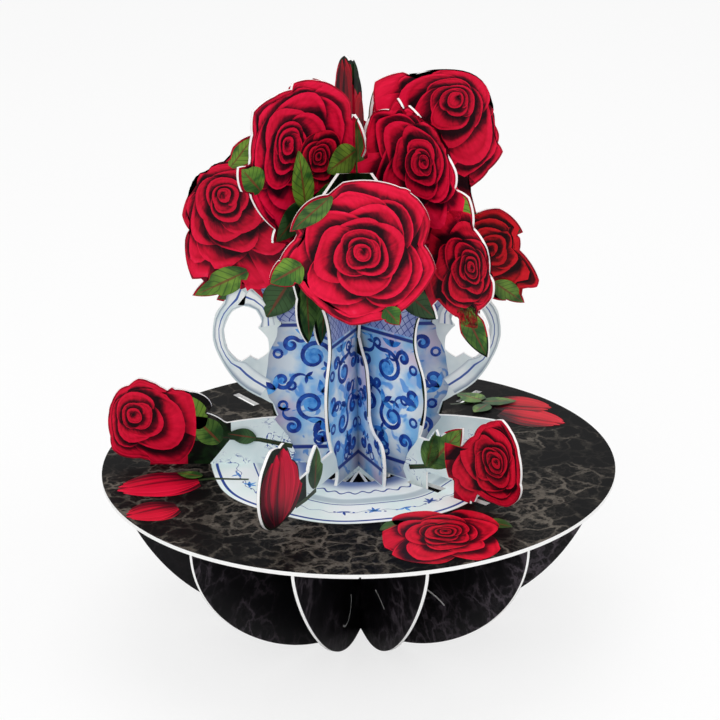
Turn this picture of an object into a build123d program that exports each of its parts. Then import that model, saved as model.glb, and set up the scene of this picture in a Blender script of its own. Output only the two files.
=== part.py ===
from build123d import *
from math import cos, radians, sin
import os

# Pop-up greeting card: printed die-cut boards that stand up as a vase of roses on a round table.
# Millimetres, +Z up, origin on the table's axis at the floor, the front of the card faces -Y.

# Boards and clearances
board = 0.9
table_board = 1.2
fit_gap = 0.3
fold_lap = 6.0

# Round table and the bowl of fins under it
table_radius = 78.0
table_hole_radius = 16.0
score_width = 0.6
score_depth = 0.4
bowl_radius = 77.0
bowl_depth = 52.8
bowl_cross_shares = ((1.0, 0.0), (0.9, 0.474), (0.723, 1.0), (0.15, 1.0))
bowl_outer_shares = ((1.0, 0.0), (1.0, 0.5), (0.45, 1.0), (0.15, 1.0))
bowl_inner_shares = ((1.0, 0.0), (1.0, 0.2), (0.55, 1.0), (0.15, 1.0))
slit_width = 0.6
left_slit_shares = ((0.165, 0.68), (0.17, 0.75), (0.29, 0.785))
right_slit_shares = ((0.26, 0.585), (0.32, 0.595), (0.38, 0.615))
outer_slit_shares = ((0.4, 0.555), (0.46, 0.565), (0.52, 0.595))

# Half angle of each folded sheet, in degrees from the front-to-back line
base_outer_angle = 39.0
base_inner_angle = 14.8
front_outer_angle = 49.0
front_inner_angle = 25.0
back_outer_angle = 36.0
back_inner_angle = 21.0

# Tabs and tongues that hold the upper sheets to the table
slot_width = 4.0
back_slot_width = 2.4
slot_length = 12.0
tab_length = 6.0
tongue_radius = 13.5
tab_start_shares = (0.268, 0.48)
back_tab_start_shares = (0.285, 0.72)

# Vase
belly_radius = 26.5
inner_belly_radius = 22.0
vase_height = 57.5
vase_profile_shares = (
    (0.755, 0.0), (0.7, 0.06), (0.745, 0.115), (0.93, 0.28), (1.0, 0.45),
    (0.965, 0.6), (0.86, 0.74), (0.855, 0.8), (1.03, 1.0),
)

# Handle: reach beyond the belly and rise from its lower root
handle_reach = 17.0
handle_rise = 37.5
handle_root = 20.0
handle_shares = (
    (0.465, 1.008), (0.347, 0.907), (0.088, 0.84), (-0.112, 0.752), (-0.26, 0.64), (-0.26, -0.05),
    (0.141, 0.037), (0.524, 0.152), (0.824, 0.352), (0.97, 0.541), (0.918, 0.752), (0.788, 0.835),
)
handle_hole_shares = (
    (0.771, 0.624), (0.618, 0.776), (0.406, 0.824), (0.2, 0.789), (0.1, 0.688), (0.171, 0.637),
    (0.006, 0.547), (-0.006, 0.432), (0.188, 0.365), (0.329, 0.4), (0.506, 0.349), (0.712, 0.453),
)

# Saucer seen from the side, on the upright cards
saucer_radius = 45.0
saucer_height = 15.0
saucer_shares = (
    (0.0, 0.0), (1.0, 0.0), (1.03, 0.35), (0.99, 0.76), (0.86, 0.9), (0.5, 1.0), (0.0, 1.0),
)

# Fallen roses and bud that stand on the table: place along the card, middle height, half sizes
fallen_half_width = 12.5
fallen_half_height = 13.4
fallen_height = 14.4
left_fallen_place = 63.5
right_fallen_place = 49.5
bud_place = 53.8
bud_height = 15.5
bud_half_height = 12.0
fallen_strip = 12.0
strip_foot = 4.8
bud_strip_end = 45.0
left_fallen_shares = (
    (-0.94, 0.23), (-0.86, 0.47), (-0.65, 0.78), (-0.42, 0.87), (-0.18, 1.03), (0.09, 0.95),
    (0.32, 0.83), (0.98, 0.27), (1.05, -0.22), (0.81, -0.83), (0.24, -0.97), (-0.25, -0.91),
    (-0.68, -0.86), (-0.9, -0.69), (-0.94, -0.36),
)
right_fallen_shares = (
    (-0.7, 0.18), (-0.38, 0.49), (-0.23, 0.74), (-0.03, 0.86), (0.2, 0.98), (0.42, 1.04),
    (0.66, 0.84), (0.78, 0.69), (0.9, 0.37), (0.96, -0.31), (0.99, -0.46), (0.91, -0.69),
    (0.6, -0.93), (0.22, -0.94), (-0.1, -0.9), (-0.52, -0.73), (-1.06, -0.24),
)
bud_shares = (
    (-0.3, 0.96), (-0.62, 0.42), (-0.92, 0.17), (-1.0, -0.39), (-0.82, -0.87), (-0.2, -0.96),
    (0.21, -1.0), (0.55, -0.91), (0.82, -0.66), (0.99, -0.08), (0.86, 0.53), (0.65, 0.78),
    (0.34, 1.01), (-0.09, 0.91),
)

# Marbled piece beside the left fallen rose, and leaves of the fallen flowers, by the saucer's sizes
marble_tab_shares = (
    (-1.24, 1.63), (-1.12, 1.57), (-1.06, 1.53), (-1.0, 1.4), (-0.98, 1.25), (-1.02, 1.11),
    (-0.9, 0.91), (-0.83, 0.78), (-0.82, 0.2), (-1.3, 0.2),
)
left_fallen_leaf_shares = ((-1.32, 1.4, -1.16, 1.35, 0.1),)
right_fallen_leaf_shares = ((0.66, 0.53, 0.9, 1.47, 0.09), (0.64, 0.5, 0.68, 1.27, 0.055))
bud_leaf_shares = ((0.7, 0.47, 0.655, 1.22, 0.1),)

# Narrow buttress of the vase on the right wing of the inner fold
buttress_reach = 17.8
buttress_height = 42.0
buttress_shares = (
    (1.0, 0.0), (1.02, 0.2), (0.92, 0.3), (0.65, 0.345), (0.49, 0.41), (0.465, 0.58), (0.43, 0.7),
    (0.36, 0.83), (0.24, 0.9), (0.1, 1.0),
)

# Bouquet: how far it reaches from the axis and how high it stands above the table
bouquet_reach = 56.0
bouquet_height = 122.0
front_rose_half_width = 21.5
front_rose_half_height = 21.5
front_rose_height = 76.0
front_rose_reach = 31.0
flap_width = 4.0
flap_height = 12.0
back_reach = 49.0
back_low_reach = 38.0
back_height = 115.0

# Bulge of the cut edge between two corners of an outline, and the widest place along a leaf
petal_bulge_share = 0.06
leaf_bulge_share = 0.09
leaf_widest_share = 0.42
handle_bulge_share = 0.04

# Roses: corners of their cut edges, out and up
front_rose_shares = (
    (-0.99, 0.0), (-0.8, 0.26), (-0.15, 1.03), (0.43, 1.01), (0.81, 0.8), (0.97, 0.5), (0.89, 0.18),
    (1.05, -0.17), (0.6, -0.74), (0.2, -0.88), (-0.09, -0.92), (-0.58, -0.56), (-0.77, -0.32),
)
left_wing_rose_shares = (
    (0.66, 0.958), (0.53, 0.982), (0.412, 0.989), (0.4, 1.004), (0.25, 0.998), (0.11, 0.967),
    (0.025, 0.926), (0.04, 0.852), (0.107, 0.72), (0.25, 0.648), (0.446, 0.623), (0.56, 0.641),
    (0.54, 0.666), (0.688, 0.756), (0.688, 0.852), (0.67, 0.905),
)
right_wing_rose_shares = (
    (0.116, 0.897), (0.15, 0.914), (0.243, 0.925), (0.296, 0.956), (0.334, 0.932), (0.368, 0.944),
    (0.471, 0.907), (0.521, 0.899), (0.536, 0.876), (0.663, 0.816), (0.675, 0.797), (0.663, 0.768),
    (0.571, 0.705), (0.357, 0.664), (0.143, 0.689), (0.09, 0.803),
)
right_wing_low_rose_shares = (
    (0.607, 0.697), (0.771, 0.689), (0.855, 0.653), (0.873, 0.636), (0.882, 0.584), (0.912, 0.567),
    (0.907, 0.53), (0.827, 0.49), (0.679, 0.459), (0.554, 0.492), (0.518, 0.607),
)
cross_left_rose_shares = (
    (-0.634, 0.796), (-0.746, 0.737), (-0.841, 0.72), (-0.905, 0.651), (-0.871, 0.613),
    (-0.895, 0.588), (-0.866, 0.488), (-0.579, 0.52), (-0.493, 0.555), (-0.418, 0.562),
    (-0.357, 0.615), (-0.393, 0.721), (-0.518, 0.795),
)
cross_right_rose_shares = (
    (0.11, 0.971), (0.254, 0.994), (0.3, 0.982), (0.366, 0.993), (0.504, 0.988), (0.613, 0.968),
    (0.679, 0.916), (0.716, 0.87), (0.748, 0.841), (0.743, 0.819), (0.77, 0.797), (0.698, 0.753),
    (0.641, 0.723), (0.536, 0.697), (0.286, 0.705), (0.125, 0.787), (0.109, 0.903),
)
cross_low_rose_shares = (
    (0.643, 0.648), (0.864, 0.582), (0.864, 0.551), (0.968, 0.474), (0.957, 0.456), (0.909, 0.454),
    (0.745, 0.455), (0.607, 0.492), (0.571, 0.59),
)
tall_bud_shares = (
    (0.145, 0.961), (0.105, 1.012), (0.063, 1.026), (0.027, 1.017), (0.002, 1.021), (-0.039, 0.977),
    (-0.064, 0.919), (-0.06, 0.8), (0.14, 0.8), (0.15, 0.92),
)

# Bouquet leaves: out and up of the root, out and up of the tip, half width
cross_leaf_shares = (
    (-0.643, 0.77, -0.509, 0.848, 0.052), (-0.571, 0.508, -0.868, 0.446, 0.056),
    (-0.536, 0.475, -0.741, 0.434, 0.052), (0.616, 0.639, 0.88, 0.596, 0.082),
    (0.732, 0.471, 0.893, 0.416, 0.046), (0.66, 0.467, 0.795, 0.422, 0.036),
)
right_wing_leaf_shares = (
    (0.625, 0.766, 0.779, 0.684, 0.082), (0.714, 0.492, 0.882, 0.38, 0.089),
    (0.3, 0.5, 0.55, 0.44, 0.09), (0.0, 0.77, 0.005, 0.896, 0.08),
)
left_wing_leaf_shares = (
    (0.643, 0.77, 0.765, 0.836, 0.07), (0.35, 0.7, 0.56, 0.635, 0.06), (0.36, 0.52, 0.345, 0.36, 0.06),
    (0.22, 0.52, 0.265, 0.345, 0.05), (0.0, 0.77, 0.005, 0.896, 0.08),
)
back_leaf_shares = (
    (0.3, 0.5, 0.6, 0.43, 0.09), (0.4, 0.6, 0.64, 0.66, 0.09), (0.25, 0.8, 0.2, 0.93, 0.08),
)
front_card_leaf_shares = (
    (-0.75, -0.1, -1.14, -0.32, 0.2), (-0.3, 0.87, -0.85, 0.38, 0.14), (0.5, 0.85, 0.72, 0.9, 0.08),
    (0.4, -0.7, 0.57, -0.93, 0.13),
)

# Stems and greenery between the vase and the roses, as one field on each card
cross_green_shares = (
    (-0.36, 0.4), (-0.42, 0.375), (-0.52, 0.44), (-0.6, 0.49), (-0.69, 0.56), (-0.5, 0.74), (-0.12, 0.77),
    (0.1, 0.84), (0.55, 0.8), (0.68, 0.56), (0.6, 0.48), (0.52, 0.44), (0.42, 0.375), (0.36, 0.4),
)
wing_green_shares = (
    (-0.1, 0.42), (0.46, 0.44), (0.58, 0.5), (0.64, 0.6), (0.66, 0.75), (0.5, 0.78), (0.2, 0.8),
    (-0.1, 0.78),
)
left_green_shares = (
    (-0.1, 0.46), (0.2, 0.42), (0.37, 0.42), (0.45, 0.55), (0.45, 0.66), (0.2, 0.8), (-0.1, 0.78),
)
inner_green_shares = (
    (-0.12, 0.33), (0.02, 0.33), (0.05, 0.42), (0.2, 0.5), (0.44, 0.52), (0.44, 0.74), (0.2, 0.78),
    (-0.12, 0.74),
)

# Places that follow from the sizes above
table_top = bowl_depth + table_board


def fold_half_depth(angle):
    """Half the front-to-back depth of a folded crease."""
    return board / 2 / sin(radians(angle))


front_outer_crease = board / 2 + fit_gap + fold_half_depth(front_outer_angle)
front_inner_crease = front_outer_crease + fold_half_depth(front_outer_angle) + fit_gap
front_inner_crease += fold_half_depth(front_inner_angle)
back_outer_crease = board / 2 + fit_gap + fold_half_depth(back_outer_angle)
back_inner_crease = back_outer_crease + fold_half_depth(back_outer_angle) + fit_gap
back_inner_crease += fold_half_depth(back_inner_angle)
base_outer_crease = board / 2 + fit_gap + fold_half_depth(base_outer_angle)
base_inner_crease = base_outer_crease + fold_half_depth(base_outer_angle) + fit_gap
base_inner_crease += fold_half_depth(base_inner_angle)


def scaled(shares, width, height, middle=(0, 0)):
    """Points of an outline from a table of shares, about a middle."""
    return [(middle[0] + out * width, middle[1] + up * height) for out, up in shares]


def upright_plane(height):
    """Upright plane from left to right behind the axis by half a board, with its origin at a height."""
    return Plane(origin=(0, board / 2, height), x_dir=(1, 0, 0), z_dir=(0, -1, 0))


def wing_direction(angle, side, facing):
    """Level direction in which a wing runs out from its crease."""
    return (side * sin(radians(angle)), facing * cos(radians(angle)), 0)


def wing_plane(angle, side, facing, crease, height):
    """Upright plane of one face of a wing: local x runs out along the wing, local y runs up."""
    out = wing_direction(angle, side, facing)
    middle = Plane(origin=(0, facing * crease, height), x_dir=out, z_dir=(out[1], -out[0], 0))
    return middle.offset(-board / 2)


def die_cut(points, bulge_share, mode=Mode.ADD):
    """Closed face whose edges bulge out a little between its corners, added to the current sketch."""
    corners = [Vector(point) for point in points]
    edges = list(zip(corners, corners[1:] + corners[:1]))
    turn = sum(start.cross(end).Z for start, end in edges)
    bulge = bulge_share if turn > 0 else -bulge_share
    with BuildLine() as outline:
        for start, end in edges:
            along = end - start
            middle = start + along / 2 + Vector(along.Y, -along.X) * bulge
            ThreePointArc(start, middle, end)
    make_face(outline.edges(), mode=mode)


def leaf(root, tip, half_width):
    """Pointed leaf, widest nearer to its root, added to the current sketch."""
    start = Vector(root)
    along = Vector(tip) - start
    across = Vector(-along.Y, along.X).normalized() * half_width
    widest = start + along * leaf_widest_share
    die_cut((start, widest - across, start + along, widest + across), leaf_bulge_share)


def leaves(shares, width, height):
    for root_out, root_up, tip_out, tip_up, half_width in shares:
        root, tip = scaled(((root_out, root_up), (tip_out, tip_up)), width, height)
        leaf(root, tip, half_width * width)


def rose(shares, width=bouquet_reach, height=bouquet_height):
    die_cut(scaled(shares, width, height), petal_bulge_share)


def greenery(shares):
    with BuildLine() as edge:
        Polyline(*scaled(shares, bouquet_reach, bouquet_height), close=True)
    make_face(edge.edges())


def half_vase(radius):
    """Half of the vase's side view, lapping over the crease."""
    profile = scaled(vase_profile_shares, radius, vase_height)
    with BuildLine() as edge:
        Polyline(profile[-1], (-fold_lap, profile[-1][1]), (-fold_lap, 0), profile[0])
        Spline(*profile)
    make_face(edge.edges())


def saucer_side():
    """Side view of the saucer from the axis out to its rim."""
    rim = scaled(saucer_shares, saucer_radius, saucer_height)
    with BuildLine() as edge:
        Polyline(rim[-1], (-fold_lap, rim[-1][1]), (-fold_lap, 0), *rim[:2])
        Spline(*rim[1:])
    make_face(edge.edges())


def strip(start, end, foot, head, mode=Mode.ADD):
    """Straight strip of the sheet between two places along it and two heights."""
    with BuildLine() as edge:
        Polyline((start, foot), (end, foot), (end, head), (start, head), close=True)
    make_face(edge.edges(), mode=mode)


def handle():
    """Scrolled handle to the right of the vase, with the opening inside it."""
    root = (belly_radius, handle_root)
    die_cut(scaled(handle_shares, handle_reach, handle_rise, root), handle_bulge_share)
    hole = scaled(handle_hole_shares, handle_reach, handle_rise, root)
    die_cut(hole, handle_bulge_share, Mode.SUBTRACT)


def fallen_rose(shares, place):
    """Rose that stands on the table at a place along its card."""
    middle = (place, fallen_height)
    die_cut(scaled(shares, fallen_half_width, fallen_half_height, middle), petal_bulge_share)


def fallen_leaves(shares):
    leaves(shares, saucer_radius, saucer_height)


def tab_spans(start_shares):
    """Start and end of each tab along its wing."""
    return [(share * table_radius, share * table_radius + tab_length) for share in start_shares]


def table_tabs(start_shares, crease):
    """Tongue in the table's central opening, and tabs that reach down into its slots."""
    tongue = (-fold_lap, tongue_radius - crease)
    for start, end in tab_spans(start_shares) + [tongue]:
        strip(start, end, -table_board, board)


def bowl_half(curve_shares, crease):
    """Half of the bowl's side view, from the crease out to the rim."""
    curve = scaled(curve_shares, bowl_radius, -bowl_depth, (-crease, 0))
    with BuildLine() as edge:
        Polyline(curve[-1], (-fold_lap, curve[-1][1]), (-fold_lap, 0), curve[0])
        Bezier(*curve)
    make_face(edge.edges())


def curved_slit(shares):
    """Narrow curved slit cut through a bowl fin."""
    with BuildLine() as path:
        ThreePointArc(*scaled(shares, bowl_radius, -bowl_depth))
    SlotArc(path.edges()[0], slit_width, mode=Mode.SUBTRACT)


def wing_from(sketch, side):
    """Board of one wing, mitred at the crease so that its partner closes the fold."""
    with BuildPart() as wing:
        extrude(sketch, amount=board)
        split(bisect_by=Plane.YZ, keep=Keep.TOP if side > 0 else Keep.BOTTOM)
    return wing.part


def base_wing(angle, side, facing, crease, curve_shares, slit_shares):
    with BuildSketch(wing_plane(angle, side, facing, crease, bowl_depth)) as outline:
        bowl_half(curve_shares, crease)
        if slit_shares:
            curved_slit(slit_shares)
    return wing_from(outline.sketch, side)


def flap(angle, side, facing, crease):
    """Flap at the end of an inner wing, bent parallel to the rose card that is glued to it."""
    reach = crease + front_rose_reach * cos(radians(angle))
    edge = front_rose_reach * sin(radians(angle)) - board
    centre = (side * (edge + flap_width / 2), facing * reach, table_top + front_rose_height)
    with BuildPart() as piece:
        with Locations(centre):
            Box(flap_width, board, flap_height)
    return piece.part


def rose_card_plane(angle, facing, crease):
    """Upright plane of a rose card's hidden face, against the flaps that carry it."""
    reach = crease + front_rose_reach * cos(radians(angle)) + board / 2
    middle = (0, facing * reach, table_top + front_rose_height)
    return Plane(origin=middle, x_dir=(-facing, 0, 0), z_dir=(0, facing, 0))


def large_rose():
    size = (front_rose_half_width, front_rose_half_height)
    rose(front_rose_shares, *size)
    leaves(front_card_leaf_shares, *size)


def buttress():
    """Narrow half vase that leaves the wing behind it in view."""
    profile = scaled(buttress_shares, buttress_reach, buttress_height)
    with BuildLine() as edge:
        Polyline(profile[-1], (-fold_lap, profile[-1][1]), (-fold_lap, 0), profile[0])
        Spline(*profile)
    make_face(edge.edges())


def rose_arm():
    """Arm of an inner wing that reaches forward to the rose card."""
    foot = front_rose_height - flap_height / 2
    strip(0, front_rose_reach, foot, foot + flap_height)


# Tabletop: one disc, scored front to back, opened at the middle and slotted for the upper sheets
slotted_wings = [
    (front_outer_angle, 1, -1, front_outer_crease, tab_start_shares, slot_width),
    (back_outer_angle, 1, 1, back_outer_crease, back_tab_start_shares, back_slot_width),
    (back_outer_angle, -1, 1, back_outer_crease, back_tab_start_shares, back_slot_width),
]
with BuildPart() as tabletop:
    with BuildSketch(Plane.XY.offset(bowl_depth)):
        Circle(table_radius)
        Circle(table_hole_radius, mode=Mode.SUBTRACT)
        for angle, side, facing, crease, start_shares, width in slotted_wings:
            out = wing_direction(angle, side, facing)
            heading = Vector(out).get_signed_angle(Vector(1, 0, 0), Vector(0, 0, -1))
            for share in start_shares:
                middle = share * table_radius - fit_gap + slot_length / 2
                place = Location((out[0] * middle, facing * crease + out[1] * middle), heading)
                with Locations(place):
                    Rectangle(slot_length, width, mode=Mode.SUBTRACT)
    extrude(amount=table_board)
    with Locations((0, 0, bowl_depth + score_depth / 2)):
        Box(score_width, table_radius * 2, score_depth, mode=Mode.SUBTRACT)
tabletop.part.label = "tabletop"

# Flat bowl card under the table, from left to right
with BuildPart() as base_cross_card:
    with BuildSketch(upright_plane(bowl_depth)):
        bowl_half(bowl_cross_shares, 0)
        mirror(about=Plane.YZ)
    extrude(amount=board)
base_cross_card.part.label = "base_cross_card"

# Wide pair of bowl fins at the front, with a curved slit in the right one
right_fin = base_wing(base_outer_angle, 1, -1, base_outer_crease, bowl_outer_shares, outer_slit_shares)
left_fin = base_wing(base_outer_angle, -1, -1, base_outer_crease, bowl_outer_shares, None)
with BuildPart() as base_front_outer_fold:
    add(right_fin)
    add(left_fin)
base_front_outer_fold.part.label = "base_front_outer_fold"

# Narrow pair of bowl fins at the front, with a curved slit in each
right_fin = base_wing(base_inner_angle, 1, -1, base_inner_crease, bowl_inner_shares, right_slit_shares)
left_fin = base_wing(base_inner_angle, -1, -1, base_inner_crease, bowl_inner_shares, left_slit_shares)
with BuildPart() as base_front_inner_fold:
    add(right_fin)
    add(left_fin)
base_front_inner_fold.part.label = "base_front_inner_fold"

# The same two pairs at the back, the wide one under the slots of the upper sheet
right_fin = base_wing(back_outer_angle, 1, 1, back_outer_crease, bowl_outer_shares, None)
left_fin = base_wing(back_outer_angle, -1, 1, back_outer_crease, bowl_outer_shares, outer_slit_shares)
with BuildPart() as base_back_outer_fold:
    add(right_fin)
    add(left_fin)
base_back_outer_fold.part.label = "base_back_outer_fold"

right_fin = base_wing(base_inner_angle, 1, 1, base_inner_crease, bowl_inner_shares, left_slit_shares)
left_fin = base_wing(base_inner_angle, -1, 1, base_inner_crease, bowl_inner_shares, right_slit_shares)
with BuildPart() as base_back_inner_fold:
    add(right_fin)
    add(left_fin)
base_back_inner_fold.part.label = "base_back_inner_fold"

# Flat card above the table: vase, handles, saucer side, fallen rose and three roses
with BuildPart() as cross_card:
    with BuildSketch(upright_plane(table_top)):
        half_vase(belly_radius)
        handle()
        saucer_side()
        table_tabs((), 0)
        mirror(about=Plane.YZ)
        strip(-left_fallen_place, 0, 0, fallen_strip)
        die_cut(scaled(marble_tab_shares, saucer_radius, saucer_height), petal_bulge_share)
        fallen_rose(left_fallen_shares, -left_fallen_place)
        fallen_leaves(left_fallen_leaf_shares)
        greenery(cross_green_shares)
        for shares in (cross_left_rose_shares, cross_right_rose_shares, cross_low_rose_shares):
            rose(shares)
        leaves(cross_leaf_shares, bouquet_reach, bouquet_height)
    extrude(amount=board)
cross_card.part.label = "cross_card"

# Outer folded sheet at the front: vase, fallen rose and two roses on the right wing
with BuildSketch(wing_plane(front_outer_angle, 1, -1, front_outer_crease, table_top)) as outline:
    half_vase(belly_radius)
    saucer_side()
    first_tab, second_tab = tab_spans(tab_start_shares)
    strip(0, second_tab[1], 0, fallen_strip)
    strip(first_tab[1], second_tab[0], 0, strip_foot, mode=Mode.SUBTRACT)
    fallen_rose(right_fallen_shares, right_fallen_place)
    fallen_leaves(right_fallen_leaf_shares)
    table_tabs(tab_start_shares, front_outer_crease)
    greenery(wing_green_shares)
    rose(right_wing_rose_shares)
    rose(right_wing_low_rose_shares)
    leaves(right_wing_leaf_shares, bouquet_reach, bouquet_height)
right_wing = wing_from(outline.sketch, 1)

# Its left wing carries one rose and hangs clear of the table
with BuildSketch(wing_plane(front_outer_angle, -1, -1, front_outer_crease, table_top)) as outline:
    greenery(left_green_shares)
    rose(left_wing_rose_shares)
    leaves(left_wing_leaf_shares, bouquet_reach, bouquet_height)
left_wing = wing_from(outline.sketch, -1)
with BuildPart() as front_outer_fold:
    add(right_wing)
    add(left_wing)
front_outer_fold.part.label = "front_outer_fold"

# Inner folded sheet at the front: vase and fallen bud on the left wing, buttress on the right
with BuildSketch(wing_plane(front_inner_angle, -1, -1, front_inner_crease, table_top)) as outline:
    half_vase(inner_belly_radius)
    strip(0, bud_strip_end, strip_foot, fallen_strip)
    bud = scaled(bud_shares, fallen_half_width, bud_half_height, (bud_place, bud_height))
    die_cut(bud, petal_bulge_share)
    fallen_leaves(bud_leaf_shares)
    table_tabs((), front_inner_crease)
    greenery(inner_green_shares)
    rose_arm()
left_wing = wing_from(outline.sketch, -1)
with BuildSketch(wing_plane(front_inner_angle, 1, -1, front_inner_crease, table_top)) as outline:
    buttress()
    table_tabs((), front_inner_crease)
    greenery(inner_green_shares)
    rose_arm()
right_wing = wing_from(outline.sketch, 1)
right_flap = flap(front_inner_angle, 1, -1, front_inner_crease)
left_flap = flap(front_inner_angle, -1, -1, front_inner_crease)
with BuildPart() as front_inner_fold:
    add(right_wing)
    add(left_wing)
    add(right_flap)
    add(left_flap)
front_inner_fold.part.label = "front_inner_fold"

# Rose that faces the front, glued to the flaps of the inner sheet
with BuildPart() as front_rose_card:
    with BuildSketch(rose_card_plane(front_inner_angle, -1, front_inner_crease)):
        large_rose()
    extrude(amount=board)
front_rose_card.part.label = "front_rose_card"

# Outer folded sheet at the back: a half vase and two roses on each wing, the tall bud at its crease
back_wings = []
for side, rose_shares in ((1, right_wing_rose_shares), (-1, left_wing_rose_shares)):
    with BuildSketch(wing_plane(back_outer_angle, side, 1, back_outer_crease, table_top)) as outline:
        half_vase(belly_radius)
        saucer_side()
        table_tabs((back_tab_start_shares[0],), back_outer_crease)
        greenery(wing_green_shares)
        rose(rose_shares, back_reach, back_height)
        rose(right_wing_low_rose_shares, back_low_reach, back_height)
        rose(tall_bud_shares, -side * bouquet_reach, bouquet_height)
        leaves(back_leaf_shares, bouquet_reach, bouquet_height)
    back_wings.append(wing_from(outline.sketch, side))
with BuildPart() as back_outer_fold:
    for piece in back_wings:
        add(piece)
back_outer_fold.part.label = "back_outer_fold"

# Inner folded sheet at the back: a buttress and an arm on each wing
back_wings = []
for side in (1, -1):
    with BuildSketch(wing_plane(back_inner_angle, side, 1, back_inner_crease, table_top)) as outline:
        buttress()
        table_tabs((), back_inner_crease)
        greenery(inner_green_shares)
        rose_arm()
    back_wings.append(wing_from(outline.sketch, side))
    back_wings.append(flap(back_inner_angle, side, 1, back_inner_crease))
with BuildPart() as back_inner_fold:
    for piece in back_wings:
        add(piece)
back_inner_fold.part.label = "back_inner_fold"

# Rose that faces the back, glued to the flaps of the back inner sheet
with BuildPart() as back_rose_card:
    with BuildSketch(rose_card_plane(back_inner_angle, 1, back_inner_crease)):
        large_rose()
    extrude(amount=board)
back_rose_card.part.label = "back_rose_card"

os.makedirs("parts", exist_ok=True)
for sheet in (
    tabletop, base_cross_card, base_front_outer_fold, base_front_inner_fold, base_back_outer_fold,
    base_back_inner_fold, cross_card, front_outer_fold, front_inner_fold, front_rose_card,
    back_outer_fold, back_inner_fold, back_rose_card,
):
    export_step(sheet.part, "parts/" + sheet.part.label + ".step")
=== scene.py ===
import math
import random

import bmesh
import bpy
from mathutils import Matrix, Vector


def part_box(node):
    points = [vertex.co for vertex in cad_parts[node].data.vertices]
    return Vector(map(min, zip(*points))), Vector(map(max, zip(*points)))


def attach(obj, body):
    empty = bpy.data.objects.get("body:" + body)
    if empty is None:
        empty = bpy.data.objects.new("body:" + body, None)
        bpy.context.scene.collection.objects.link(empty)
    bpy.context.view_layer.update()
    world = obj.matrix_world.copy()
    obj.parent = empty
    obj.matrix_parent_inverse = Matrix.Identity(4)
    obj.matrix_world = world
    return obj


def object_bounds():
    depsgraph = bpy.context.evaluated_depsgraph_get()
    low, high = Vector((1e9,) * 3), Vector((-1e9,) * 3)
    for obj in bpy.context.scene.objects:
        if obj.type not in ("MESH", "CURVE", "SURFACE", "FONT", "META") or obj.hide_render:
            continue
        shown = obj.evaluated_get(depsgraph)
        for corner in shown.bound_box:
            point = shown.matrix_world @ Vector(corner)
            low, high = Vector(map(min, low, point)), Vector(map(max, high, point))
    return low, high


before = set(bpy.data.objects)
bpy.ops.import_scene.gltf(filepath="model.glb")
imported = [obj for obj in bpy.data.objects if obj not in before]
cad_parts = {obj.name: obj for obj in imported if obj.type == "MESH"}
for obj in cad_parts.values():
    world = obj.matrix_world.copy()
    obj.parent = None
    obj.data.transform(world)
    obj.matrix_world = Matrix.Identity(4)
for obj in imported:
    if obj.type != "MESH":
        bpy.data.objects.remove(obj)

# Studio: a white floor under the card, soft light from all round and a long lens.
# The camera stands where the photograph was taken, looking down at the table.
cad_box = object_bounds()
table_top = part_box("tabletop")[1].z
MM = 0.001
image_width = 720
focal_pixels = 2290.9
sensor_width = 36.0
camera_back = 642.0 * MM
camera_rise = 279.1 * MM
camera_pitch = math.radians(20.97)
camera_roll = math.radians(0.77)
axis_pixel = 357.1


class Wire:
    """One socket of a node tree, with arithmetic that adds Math nodes."""

    def __init__(self, tree, socket=None):
        self.tree = tree
        self.socket = socket

    def node(self, kind, settings, inputs, output=0):
        """Any node: its settings are set first, then the values or links of its sockets."""
        made = self.tree.nodes.new("ShaderNode" + kind)
        for name, value in settings.items():
            if name == "stops":
                points = made.color_ramp.elements
                for place, colour in value[len(points):]:
                    points.new(place)
                for point, (place, colour) in zip(points, value):
                    point.position = place
                    point.color = (*colour, 1)
            else:
                setattr(made, name, value)
        for name, value in inputs.items():
            if isinstance(value, Wire):
                self.tree.links.new(value.socket, made.inputs[name])
            else:
                made.inputs[name].default_value = value
        return Wire(self.tree, made.outputs[output])

    def output(self, name):
        """Another output of the node that this wire leaves."""
        return Wire(self.tree, self.socket.node.outputs[name])

    def sum_node(self, operation, first, second):
        return self.node("Math", {"operation": operation}, {0: first, 1: second})

    def __add__(self, other):
        return self.sum_node("ADD", self, other)

    def __radd__(self, other):
        return self.sum_node("ADD", other, self)

    def __sub__(self, other):
        return self.sum_node("SUBTRACT", self, other)

    def __rsub__(self, other):
        return self.sum_node("SUBTRACT", other, self)

    def __mul__(self, other):
        return self.sum_node("MULTIPLY", self, other)

    def __rmul__(self, other):
        return self.sum_node("MULTIPLY", other, self)

    def __truediv__(self, other):
        return self.sum_node("DIVIDE", self, other)

    def __lt__(self, other):
        return self.sum_node("LESS_THAN", self, other)

    def __gt__(self, other):
        return self.sum_node("GREATER_THAN", self, other)

    def __abs__(self):
        return self.node("Math", {"operation": "ABSOLUTE"}, {0: self})

    def step(self, low, high):
        """0 below low, 1 above high, smooth between."""
        settings = {"interpolation_type": "SMOOTHSTEP"}
        return self.node("MapRange", settings, {"Value": self, "From Min": low, "From Max": high})

    def over(self, under, colour):
        """Colour laid over another where this mask is 1."""
        first, second = (value if isinstance(value, Wire) else (*value, 1) for value in (under, colour))
        return self.node("Mix", {"data_type": "RGBA"}, {0: self, 6: first, 7: second}, 2)


def finish_of(name, roughness, specular=0.5):
    """New material with its shader's constants set; returns the material, a wire and the shader."""
    material = bpy.data.materials.new(name)
    material.use_nodes = True
    shader = material.node_tree.nodes["Principled BSDF"]
    shader.inputs["Roughness"].default_value = roughness
    shader.inputs["Specular IOR Level"].default_value = specular
    return material, Wire(material.node_tree), shader


def feed(shader, **sockets):
    """Link wires to a shader's sockets, named with underscores for spaces."""
    for name, wire in sockets.items():
        wire.tree.links.new(wire.socket, shader.inputs[name.replace("_", " ")])


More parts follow.
